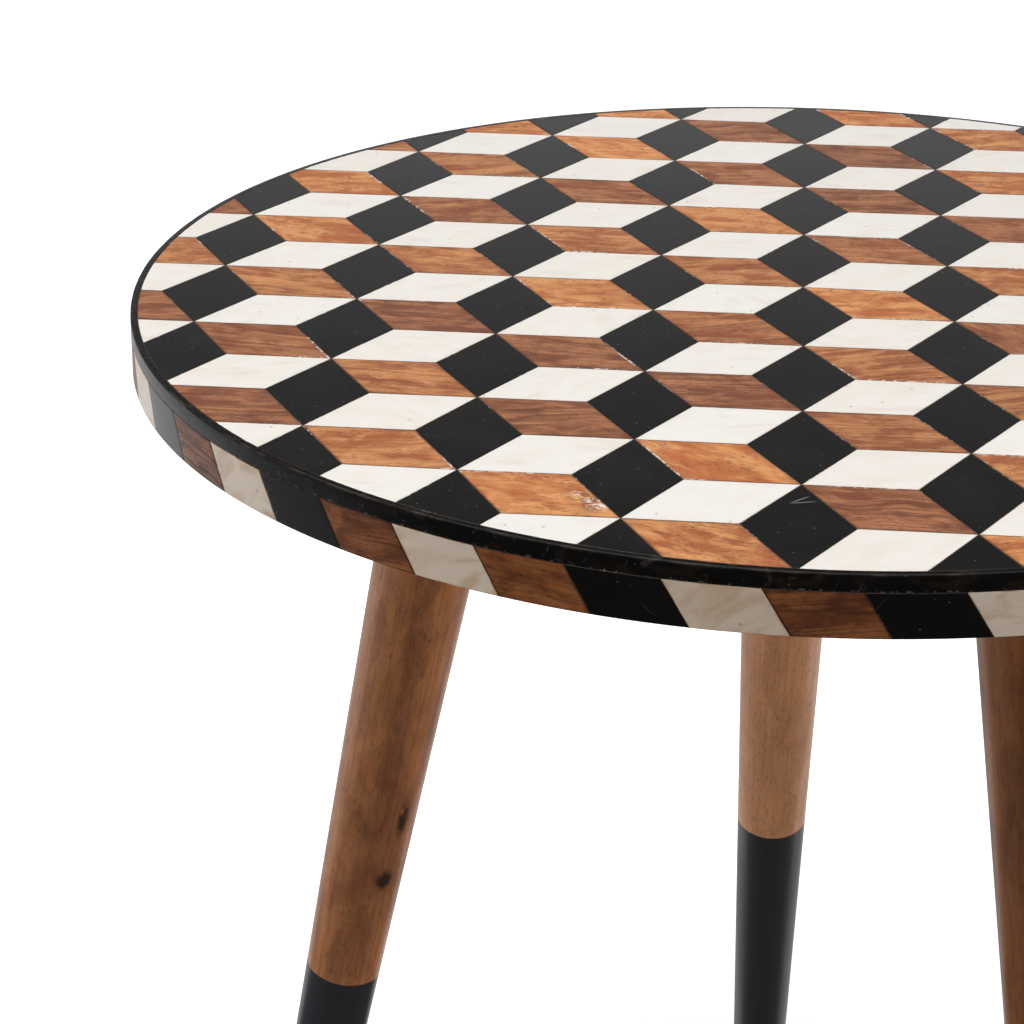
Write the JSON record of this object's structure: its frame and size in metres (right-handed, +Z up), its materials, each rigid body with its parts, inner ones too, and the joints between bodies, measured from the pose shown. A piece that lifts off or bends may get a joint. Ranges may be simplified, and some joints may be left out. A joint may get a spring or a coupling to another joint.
{
  "type": "inlaid side table",
  "caption": "Round side table with a tumbling-block inlay of white resin, wood and black resin, a black rim strip, slanted edge tiles and splayed tapered screw-in legs.",
  "frame": {"origin": "on the floor, below the middle of the round top", "axes": "+Z up; +Y away from a person facing the table as the picture does; +X to that person's right"},
  "size_m": [0.457, 0.457, 0.457],
  "materials": {
    "board": "raw sanded board",
    "joint_resin": "dark brown filled resin, polished flush",
    "black_resin": "black resin, satin with fine scratches",
    "white_resin": "bone-white resin, satin",
    "tile_wood": "oiled brown hardwood, fine pores",
    "leg_wood": "stained hardwood, satin, lower part painted black",
    "plate_steel": "black coated steel",
    "screw_steel": "zinc plated",
    "glide_nylon": "black nylon"
  },
  "bodies": {
    "top": {"top_core": "board", "top_joint_resin": "joint_resin", "top_rim_strip": "black_resin", "top_white_tiles": "white_resin", "top_wood_tiles": "tile_wood", "top_black_tiles": "black_resin", "edge_joint_resin": "joint_resin", "edge_white_tiles": "white_resin", "edge_wood_tiles": "tile_wood", "edge_black_tiles": "black_resin", "leg_plate_1": "plate_steel", "plate_screws_1": "screw_steel", "leg_plate_2": "plate_steel", "plate_screws_2": "screw_steel", "leg_plate_3": "plate_steel", "plate_screws_3": "screw_steel"},
    "washer_body_1": {"leg_washer_1": "screw_steel"},
    "leg_body_1": {"leg_1": "leg_wood", "leg_bolt_1": "screw_steel", "foot_glide_1": "glide_nylon"},
    "washer_body_2": {"leg_washer_2": "screw_steel"},
    "leg_body_2": {"leg_2": "leg_wood", "leg_bolt_2": "screw_steel", "foot_glide_2": "glide_nylon"},
    "washer_body_3": {"leg_washer_3": "screw_steel"},
    "leg_body_3": {"leg_3": "leg_wood", "leg_bolt_3": "screw_steel", "foot_glide_3": "glide_nylon"}
  },
  "joints": [
    {"name": "leg_travel_1", "type": "slide", "parent": "top", "child": "washer_body_1", "axis": [0.1081, -0.1539, -0.9822], "range_m": [0, 0.0075]},
    {"name": "leg_turn_1", "type": "hinge", "parent": "washer_body_1", "child": "leg_body_1", "pos_m": [0.06871, -0.09777, 0.4378], "axis": [0.1081, -0.1539, -0.9822], "range_deg": [0, 2163]},
    {"name": "leg_travel_2", "type": "slide", "parent": "top", "child": "washer_body_2", "axis": [-0.003, 0.188, -0.9822], "range_m": [0, 0.0075]},
    {"name": "leg_turn_2", "type": "hinge", "parent": "washer_body_2", "child": "leg_body_2", "pos_m": [-0.00188, 0.11948, 0.4378], "axis": [-0.003, 0.188, -0.9822], "range_deg": [0, 2163]},
    {"name": "leg_travel_3", "type": "slide", "parent": "top", "child": "washer_body_3", "axis": [-0.1837, 0.0404, -0.9822], "range_m": [0, 0.0075]},
    {"name": "leg_turn_3", "type": "hinge", "parent": "washer_body_3", "child": "leg_body_3", "pos_m": [-0.11671, 0.02566, 0.4378], "axis": [-0.1837, 0.0404, -0.9822], "range_deg": [0, 2163]}
  ],
  "couplings": [
    {"joint": "leg_turn_1", "follows": "leg_travel_1", "rad_per_m": 5026.5},
    {"joint": "leg_turn_2", "follows": "leg_travel_2", "rad_per_m": 5026.5},
    {"joint": "leg_turn_3", "follows": "leg_travel_3", "rad_per_m": 5026.5}
  ]
}
